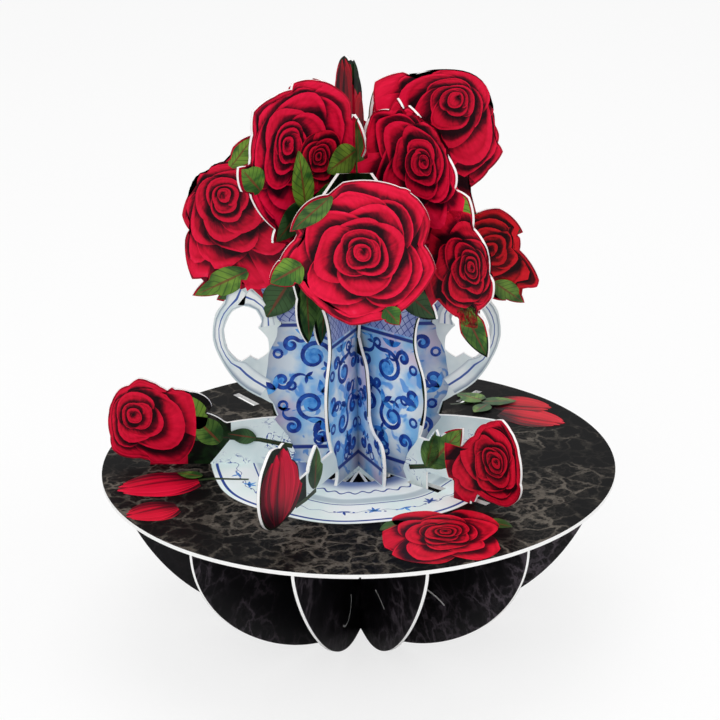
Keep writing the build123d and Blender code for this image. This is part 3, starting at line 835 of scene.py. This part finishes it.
# Handles: two china bows on the flat card, one each side, with a blue line along them.
# Each is painted as a ribbon between its cut edges, grey toward its rims.
handle_finish, wire, shader = finish_of("handle_china", 0.35, 0.25)
across = across_of(wire, "patch")
place = wire.node("TexCoord", {}, {}, "Object")
cloud = noise(wire, place, 90, 3)
colour = cloud.step(0.35, 0.65).over(shade(214, 230, 234), shade(244, 250, 249))
colour = abs(across - 0.45).step(0.28, 0.55).over(colour, shade(140, 158, 176))
colour = (1 - abs(across - 0.45).step(0.035, 0.075)).over(colour, shade(58, 92, 168))
feed(shader, Base_Color=colour)

# Lines of a handle in millimetres, with the widths of its sides where no cut edge bounds them:
# the long outer bow, and the curl from its crest to the neck
handle_lines = (
    (((33.4, 55.5), (35.4, 53.2), (37.5, 50.6), (39.4, 48.6), (40.6, 46.5), (41.2, 43.8), (41.3, 41),
      (40.6, 38), (39.2, 35.2), (37.8, 32.8), (36, 30.5), (33.8, 28.4), (31.5, 26.5), (28, 24)),
     (None, None)),
    (((33.0, 54.0), (30.8, 52.2), (28.8, 50.0), (27.4, 47.2), (26.9, 44.4)), (2.6, None)),
)
handle_half_width = 3.6
bows = Ink()
for face in faces_of("cross_card", 0):
    edges = face.cut_edges()
    for sign in (-1, 1):
        for line, reaches in handle_lines:
            grid = []
            for index, (x, y) in enumerate(line):
                ahead = line[min(index + 1, len(line) - 1)]
                behind = line[max(index - 1, 0)]
                dx, dy = ahead[0] - behind[0], ahead[1] - behind[1]
                length = math.hypot(dx, dy)
                row = []
                for part, reach in zip((-1, 1), reaches):
                    way = (sign * part * -dy / length, part * dx / length)
                    free = reach or max(free_reach(edges, (sign * x, y), way, handle_half_width), 0.2)
                    row.append((sign * x + way[0] * free, y + way[1] * free))
                grid.append([tuple(a + (b - a) * k / 8 for a, b in zip(*row)) for k in range(9)])
            bows.patch(face, grid, 2)
bows.done("handles", handle_finish, "vase_board")

# Roses: each bloom is painted petal by petal on its board, both faces alike.
# Petals lie in rings round the heart, dark under the next ring's rims, with a pale turned lip.
rose_finish, wire, shader = finish_of("rose_print", 0.42, 0.1)
across = across_of(wire, "patch")
along = across.output(1)
lit = painted(wire, "shade")
tone = painted(wire, "tone")
grain_place = wire.node("CombineXYZ", {}, {0: across * 11, 1: along * 1.2, 2: tone * 31 + lit * 0.6})
grain = noise(wire, grain_place, 2.2, 3)
level = lit + (grain - 0.5) * 0.34
crimson = level.node("ValToRGB", {"stops": (
    (0.0, shade(30, 2, 11)), (0.22, shade(98, 5, 29)), (0.45, shade(198, 10, 48)),
    (0.72, shade(238, 22, 68)), (1.0, shade(252, 88, 134)),
)}, {"Fac": level})
scarlet = level.node("ValToRGB", {"stops": (
    (0.0, shade(28, 2, 6)), (0.22, shade(88, 5, 14)), (0.45, shade(184, 16, 26)),
    (0.72, shade(226, 28, 40)), (1.0, shade(246, 92, 90)),
)}, {"Fac": level})
feed(shader, Base_Color=tone.over(crimson, scarlet))

bloom_corner = 2.6
petal_swirl = 0.3
rim_droop = 0.34
rim_point = 0.1
petal_step = 0.5
bloom_rays = 180


def smooth(low, high, value):
    part = min(max((value - low) / (high - low), 0), 1)
    return part * part * (3 - 2 * part)


class Petal:
    """One petal of a ring: where it points, how wide it is and the line of its rim."""

    def __init__(self, ring, level, index, turn, chance, follows_cut):
        self.top, count, span, self.lip = ring
        self.centre = math.tau * (turn + level * 0.37 + (index + chance.uniform(-0.16, 0.16)) / count)
        self.half_span = math.tau / count * span
        self.lean = chance.uniform(-0.35, 0.35)
        self.wave = chance.uniform(0, math.tau)
        self.light = chance.uniform(-0.08, 0.08)
        self.follows_cut = follows_cut
        self.fit = 1 + chance.uniform(-0.1, 0.1)

    def rim(self, u):
        """Reach of the rim across the petal, from -1 to 1: pointed, drooping to the sides."""
        if self.follows_cut:
            return 1.0
        point = rim_point * max(0, 1 - abs(u - self.lean) / 0.5)
        ripple = 0.02 * math.sin(7 * u + self.wave)
        return self.top * self.fit * (1 - rim_droop * abs(u) ** 2.4 + point + ripple)


class Bloom:
    """One bloom on a face: its rim follows the cut edge, its rings draw in toward the heart."""

    def __init__(self, face, middle, half, heart, turn, rings):
        self.middle = middle
        self.heart = heart
        self.loose = abs(face.normal.z) > 0.5
        self.rim, self.oval = [], []
        edges = face.cut_edges()
        for k in range(bloom_rays):
            angle = math.tau * k / bloom_rays
            way = (math.cos(angle), math.sin(angle))
            corner = sum(abs(part / size) ** bloom_corner for part, size in zip(way, half))
            size = corner ** (-1 / bloom_corner)
            self.rim.append(max(free_reach(edges, middle, way, size), 0.5))
            self.oval.append(size * 0.93)
        chance = random.Random(turn)
        self.petals = []
        for level, ring in enumerate(rings):
            follows_cut = level == 0 and not self.loose
            places = range(ring[1])
            self.petals.append([Petal(ring, level, index, turn, chance, follows_cut) for index in places])

    def place(self, angle, share):
        """Place at an angle, from the heart at 0 to the rim at 1."""
        spot = angle / math.tau % 1 * bloom_rays
        part = spot - int(spot)
        low = int(spot) % bloom_rays
        high = (low + 1) % bloom_rays
        follow = smooth(0.6, 1.0, share)
        edge = self.rim[low] * (1 - part) + self.rim[high] * part
        oval = self.oval[low] * (1 - part) + self.oval[high] * part
        reach = edge * follow + min(oval, edge / max(share, 0.05)) * (1 - follow)
        far = (self.middle[0] + reach * math.cos(angle), self.middle[1] + reach * math.sin(angle))
        return tuple(h + (f - h) * min(share, 1) for h, f in zip(self.heart, far))

    def cover(self, level, angle):
        """Reach of a ring's outermost rim at an angle, 0 where it has none."""
        best = 0.0
        for petal in self.petals[level] if level < len(self.petals) else ():
            u = ((angle - petal.centre + math.pi) % math.tau - math.pi) / petal.half_span
            if abs(u) <= 1:
                best = max(best, petal.rim(u))
        return best

    def light(self, level, petal, inner, u, v, share, angle):
        """Brightness of a petal: dark under the next ring and on one flank, pale at its turned lip."""
        gap = share - self.cover(level + 1, angle)
        bright = 0.03 + 0.64 * smooth(-0.02, (petal.top - inner) * 0.85, gap)
        bright -= 0.3 * smooth(0.2, 0.95, u) * (1 - 0.3 * v)
        bright += 0.12 * smooth(-0.1, -0.8, u) + petal.light
        lip = petal.lip * (0.75 + 0.45 * math.sin(2 * u + petal.wave))
        fold = smooth(1 - 2.4 * lip, 1 - 1.3 * lip, v) * (1 - smooth(1 - 1.2 * lip, 1 - 0.8 * lip, v))
        bright += 0.1 * smooth(1 - 1.2 * lip, 1 - 0.7 * lip, v) - 0.18 * fold
        return min(bright, 0.7) - 0.1 * (level > 2) - 0.06 * (level > 4)


def paint_rose(ink, face, middle, half, heart, turn, tone, dim, rings, first_layer=0):
    """One bloom, from its dark back and outer ring in to its heart."""
    bloom = Bloom(face, middle, half, heart, turn, rings)
    angles = [math.tau * k / 48 for k in range(49)]
    shares = (0.2, 0.4, 0.6) if bloom.loose else (0.3, 0.65, 1.0)
    back = [[bloom.place(angle, share) for angle in angles] for share in shares]
    ink.patch(face, back, first_layer, [[level] * 49 for level in (0.1, 0.18, 0.26)], tone)
    layer = first_layer + petal_step
    rows = 10
    for level, ring in enumerate(bloom.petals):
        columns = 36 if level == 0 else 16
        inner = rings[level + 1][0] if level + 1 < len(rings) else 0.02
        base = inner * 0.5
        for petal in ring:
            grid, shades = [], []
            for j in range(rows + 1):
                v = 1 - (1 - j / rows) ** 1.5
                row, tints = [], []
                for i in range(columns + 1):
                    u = 2 * i / columns - 1
                    share = base + (petal.rim(u) - base) * v
                    fan = petal.half_span * u * (0.75 + 0.25 * v)
                    angle = petal.centre + fan + petal_swirl * (v - 0.5)
                    row.append(bloom.place(angle, share))
                    tints.append(bloom.light(level, petal, inner, u, v, share, angle) - dim)
                grid.append(row)
                shades.append(tints)
            ink.patch(face, grid, layer, shades, tone)
            layer += petal_step


for index, (name, side, middle, half, heart, turn, tone, dim, rings) in enumerate(blooms):
    ink = Ink()
    for face in faces_of(name, side):
        paint_rose(ink, face, middle, half, heart, turn, tone, dim, rings)
    ink.done("%s_bloom_%02d" % (name, index), rose_finish, slot_of(name))

# Buds: furled petals painted side by side, wide at the middle and drawn in to a point.
# One stands on its own wing beside the saucer, one tops the bouquet and four are printed on the table.

# Petals of a bud, back to front: lean to the side, half width, length and light
bud_petals = (
    (-0.1, 1.0, 0.99, -0.16), (-0.6, 0.52, 0.94, 0.06), (0.6, 0.55, 0.9, -0.06),
    (0.32, 0.42, 0.97, 0.05), (-0.24, 0.5, 1.0, 0.1), (-0.05, 0.26, 0.9, 0.02),
)


def axis_of(root, tip):
    """Length of a line on a face, its direction and the direction to its right."""
    length = math.dist(root, tip)
    way = ((tip[0] - root[0]) / length, (tip[1] - root[1]) / length)
    return length, way, (way[1], -way[0])


def moved(place, way, distance):
    """Place at a distance from another in a direction."""
    return (place[0] + way[0] * distance, place[1] + way[1] * distance)


def side_reaches(edges, spot, aside, limit, least):
    """Free reach from a spot to the left and to the right of a line."""
    left = free_reach(edges, spot, (-aside[0], -aside[1]), limit)
    return max(left, least), max(free_reach(edges, spot, aside, limit), least)


def paint_bud(ink, face, root, tip, half, tone, dim):
    """Bud from its root to its tip, kept inside the cut edge."""
    edges = face.cut_edges()
    length, way, aside = axis_of(root, tip)
    middle = moved(root, way, length / 2)
    down = free_reach(edges, middle, (-way[0], -way[1]), length / 2)
    length = down + free_reach(edges, middle, way, length / 2)
    root = moved(middle, way, -down)
    rows, columns = 12, 10
    for layer, (lean, wide, tall, light) in enumerate(bud_petals):
        grid, shades = [], []
        for j in range(rows + 1):
            t = tall * (0.01 + 0.99 * j / rows)
            spot = moved(root, way, t * length)
            left, right = side_reaches(edges, spot, aside, 40.0, 0.1)
            swell = max(math.sin(math.pi * (0.1 + 0.9 * j / rows) ** 0.85), 0.02) ** 0.75
            row, tints = [], []
            for i in range(columns + 1):
                u = 2 * i / columns - 1
                shift = half * (lean * math.sin(math.pi * min(t, 1) * 0.8) * 0.85 + u * wide * swell)
                row.append(moved(spot, aside, min(max(shift, -left), right)))
                bright = 0.5 + light - dim - 0.3 * smooth(0.1, 0.9, u) + 0.2 * smooth(0.75, 1.0, abs(u))
                tints.append(bright - 0.25 * smooth(0.45, 0.0, t) + 0.15 * smooth(0.85, 1.0, j / rows))
            grid.append(row)
            shades.append(tints)
        ink.patch(face, grid, layer, shades, tone)


# Buds, in millimetres: sheet, side, root, tip, half width, tone, dimness
buds = (
    ("front_inner_fold", -1, (54.5, 1.0), (52.5, 31.0), 13.5, 0.0, 0.08),
    # Painted shade: the bud at the top of the bouquet is dimmed, more on the left wing than on the right.
    ("back_outer_fold", -1, (3.0, 102.0), (3.4, 128.0), 7.0, 0.6, 0.3),
    ("back_outer_fold", 1, (3.0, 102.0), (3.4, 128.0), 7.0, 0.6, 0.22),
    ("tabletop", 0, (-48.0, -12.6), (-72.0, -19.0), 8.6, 0.2, 0.02),
    ("tabletop", 0, (44.0, 46.0), (62.0, 40.0), 7.0, 0.7, 0.1),
    ("tabletop", 0, (46.0, 38.0), (65.0, 27.0), 7.0, 0.6, 0.04),
    ("tabletop", 0, (-53.0, -32.0), (-68.0, -38.0), 6.6, 0.3, 0.06),
)
for index, (name, side, root, tip, half, tone, dim) in enumerate(buds):
    ink = Ink()
    for face in faces_of(name, side):
        paint_bud(ink, face, root, tip, half, tone, dim)
    ink.done("%s_bud_%02d" % (name, index), rose_finish, slot_of(name))

# Small bloom: it lies over the left wing's rose, so its layers start above that rose's petals.
# It is printed on the same board, half open, with its petals still furled.
small_bloom_layer = 18
ink = Ink()
for face in faces_of("front_outer_fold", -1):
    middle, half, heart = (13.5, 98.5), (8.0, 8.5), (14.5, 100.0)
    paint_rose(ink, face, middle, half, heart, 0.33, 0.3, 0.14, furled_rings, small_bloom_layer)
ink.done("front_outer_fold_small_bloom", rose_finish, "vase_board")

# Leaves and stems: bright green with a reddish midrib and dark side veins, some in shade.
# They fill the cut leaf outlines at the sheets' edges and lie over the flowers between them.
leaf_finish, wire, shader = finish_of("leaf_print", 0.4, 0.25)
across = across_of(wire, "patch")
side = abs(across - 0.5) * 2
along = across.output(1)
place = wire.node("TexCoord", {}, {}, "Object")
gloss = noise(wire, place, 130, 3, Distortion=0.6)
lit = painted(wire, "shade")
tone = painted(wire, "tone")
bright = gloss.step(0.36, 0.64).over(shade(40, 92, 32), shade(126, 168, 56))
dusky = gloss.step(0.36, 0.64).over(shade(14, 36, 20), shade(48, 84, 54))
colour = tone.over(bright, dusky)
ribs = wire.node("Math", {"operation": "FRACT"}, {0: along * 7 - side * 1.6})
ribs = 1 - abs(ribs - 0.5).step(0.05, 0.13)
colour = (ribs * 0.55).over(colour, shade(34, 52, 22))
midrib = 1 - side.step(0.05, 0.13)
colour = (midrib * 0.75).over(colour, shade(122, 52, 36))
colour = lit.step(0.0, 1.0).over(shade(8, 20, 10), colour)
feed(shader, Base_Color=colour)


def paint_leaf(ink, face, root, tip, half, tone, layer):
    """Leaf from its root to its tip, widest nearer to the root, kept inside the cut edge."""
    edges = face.cut_edges()
    length, way, aside = axis_of(root, tip)
    rows, columns = 12, 8
    grid, shades = [], []
    for j in range(rows + 1):
        t = j / rows
        spot = moved(root, way, t * length * 0.95)
        swell = max(math.sin(math.pi * (0.03 + 0.95 * t) ** 0.8), 0.03) ** 0.9
        left, right = side_reaches(edges, spot, aside, half * swell, 0.05)
        row, tints = [], []
        for i in range(columns + 1):
            u = 2 * i / columns - 1
            row.append(moved(spot, aside, u * (left if u < 0 else right)))
            tints.append(0.8 - 0.15 * u - 0.25 * smooth(0.3, 0.0, t))
        grid.append(row)
        shades.append(tints)
    ink.patch(face, grid, layer, shades, tone)


# Leaves by sheet and side, in millimetres: root, tip, half width, darkness, layer
under, over, uppermost = 0.5, 34, 64
rose_card_leaves = (
    ((-15, 74.4), (-24.5, 69.1), 4.6, 0.0, over),
    ((-6.5, 94.7), (-18.3, 84.2), 3.2, 0.5, over),
    ((8.2, 61.4), (12.3, 56), 3.0, 0.0, over),
)
leaf_places = {
    ("cross_card", 0): (
        ((-36, 94), (-28.5, 103.5), 3.4, 0.0, over),
        ((-32, 62), (-48.6, 54.4), 4.2, 0.1, over),
        ((-35.5, 58), (-41.5, 53), 2.9, 0.8, under),
        ((-20, 58), (-27, 47), 5.0, 0.9, over),
        ((34.5, 78), (49.3, 72.7), 5.0, 0.5, under),
        ((41, 57.5), (50, 50.8), 3.2, 0.3, over),
        ((35, 58), (44.5, 51.5), 2.6, 0.7, under),
        ((-47, 12), (-55, 24), 4.6, 0.1, under),
        ((-42, 7), (-50, 16), 4.2, 0.5, under),
        ((-31, 8.6), (-40, 10.2), 2.6, 0.9, over),
    ),
    ("front_outer_fold", 1): (
        ((35, 93.5), (43.6, 83.4), 5.0, 0.2, under),
        ((40, 60), (49.4, 46.4), 5.4, 0.2, under),
        ((16.8, 61), (30.8, 53.7), 5.0, 0.9, under),
        ((2.0, 92), (1.6, 109.3), 4.5, 0.7, under),
        ((28, 7), (41, 22.5), 4.8, 0.3, under),
        ((27, 6.5), (30.6, 19.5), 3.4, 0.6, under),
    ),
    ("front_outer_fold", -1): (
        ((36, 94), (42.8, 102), 4.6, 0.1, over),
        ((19, 87), (31.4, 77.5), 4.4, 0.9, over),
        ((20.2, 63.4), (19.3, 43.9), 3.9, 0.6, over),
        ((12.3, 63.4), (14.8, 42.1), 3.3, 0.6, over),
        ((2.0, 92), (1.6, 109.3), 4.5, 0.8, under),
        ((20, 85), (22.5, 104), 4.0, 0.0, uppermost),
        ((1, 99), (12.5, 94.5), 4.8, 0.1, uppermost),
        ((7, 90.5), (20, 83.5), 3.4, 0.2, uppermost + 2),
    ),
    ("back_outer_fold", 1): (
        ((16.8, 61), (33.6, 52.5), 5.4, 0.5, over),
        ((22.4, 73.2), (35.8, 80.5), 5.4, 0.2, under),
        ((14, 97.6), (11.2, 113.5), 4.9, 0.3, over),
    ),
    ("back_outer_fold", -1): (
        ((16.8, 61), (33.6, 52.5), 5.4, 0.5, over),
        ((22.4, 73.2), (35.8, 80.5), 5.4, 0.2, under),
        ((14, 97.6), (11.2, 113.5), 4.9, 0.3, under),
    ),
    ("front_rose_card", 0): rose_card_leaves,
    ("back_rose_card", 0): rose_card_leaves,
    ("front_inner_fold", -1): (
        ((31.5, 5.5), (29.5, 18.5), 4.9, 0.7, under),
    ),
    ("tabletop", 0): (
        ((-47, -11.5), (-55, -8.5), 2.6, 0.4, over),
        ((41, 46), (32, 53), 4.2, 0.1, over),
        ((42, 43), (37, 36), 3.0, 0.2, over),
        ((40, 45.5), (52, 45.5), 3.4, 0.3, over),
        ((13, -44), (5.5, -50), 3.0, 0.5, under),
        ((36, -44), (44, -49), 3.2, 0.4, under),
    ),
}
# Stems: sheet, side, then places along the stem
stems = (
    ("cross_card", 0, (-20, 5.5), (-30, 7.8), (-42, 8.7), (-50, 8.2)),
    ("front_outer_fold", 1, (20.5, 4.5), (27, 6.5), (36, 9), (42, 11)),
    ("front_inner_fold", -1, (30.5, 4.6), (37, 4.4), (44, 4.8)),
    ("tabletop", 0, (-49, -12.8), (-44, -11.8), (-38, -12.4), (-33, -12.8)),
    ("tabletop", 0, (41, 45), (36, 46), (30, 45)),
)
greens = {}
for (name, side), leaves in leaf_places.items():
    ink = greens.setdefault(name, Ink())
    for face in faces_of(name, side):
        for root, tip, half, dark, layer in leaves:
            paint_leaf(ink, face, root, tip, half, dark, layer)
for name, side, *line in stems:
    for face in faces_of(name, side):
        greens[name].stroke(face, line, lambda part: 0.75 - 0.2 * part, 0.4, tone=0.9)
for name, ink in greens.items():
    ink.done(name + "_leaves", leaf_finish, slot_of(name))
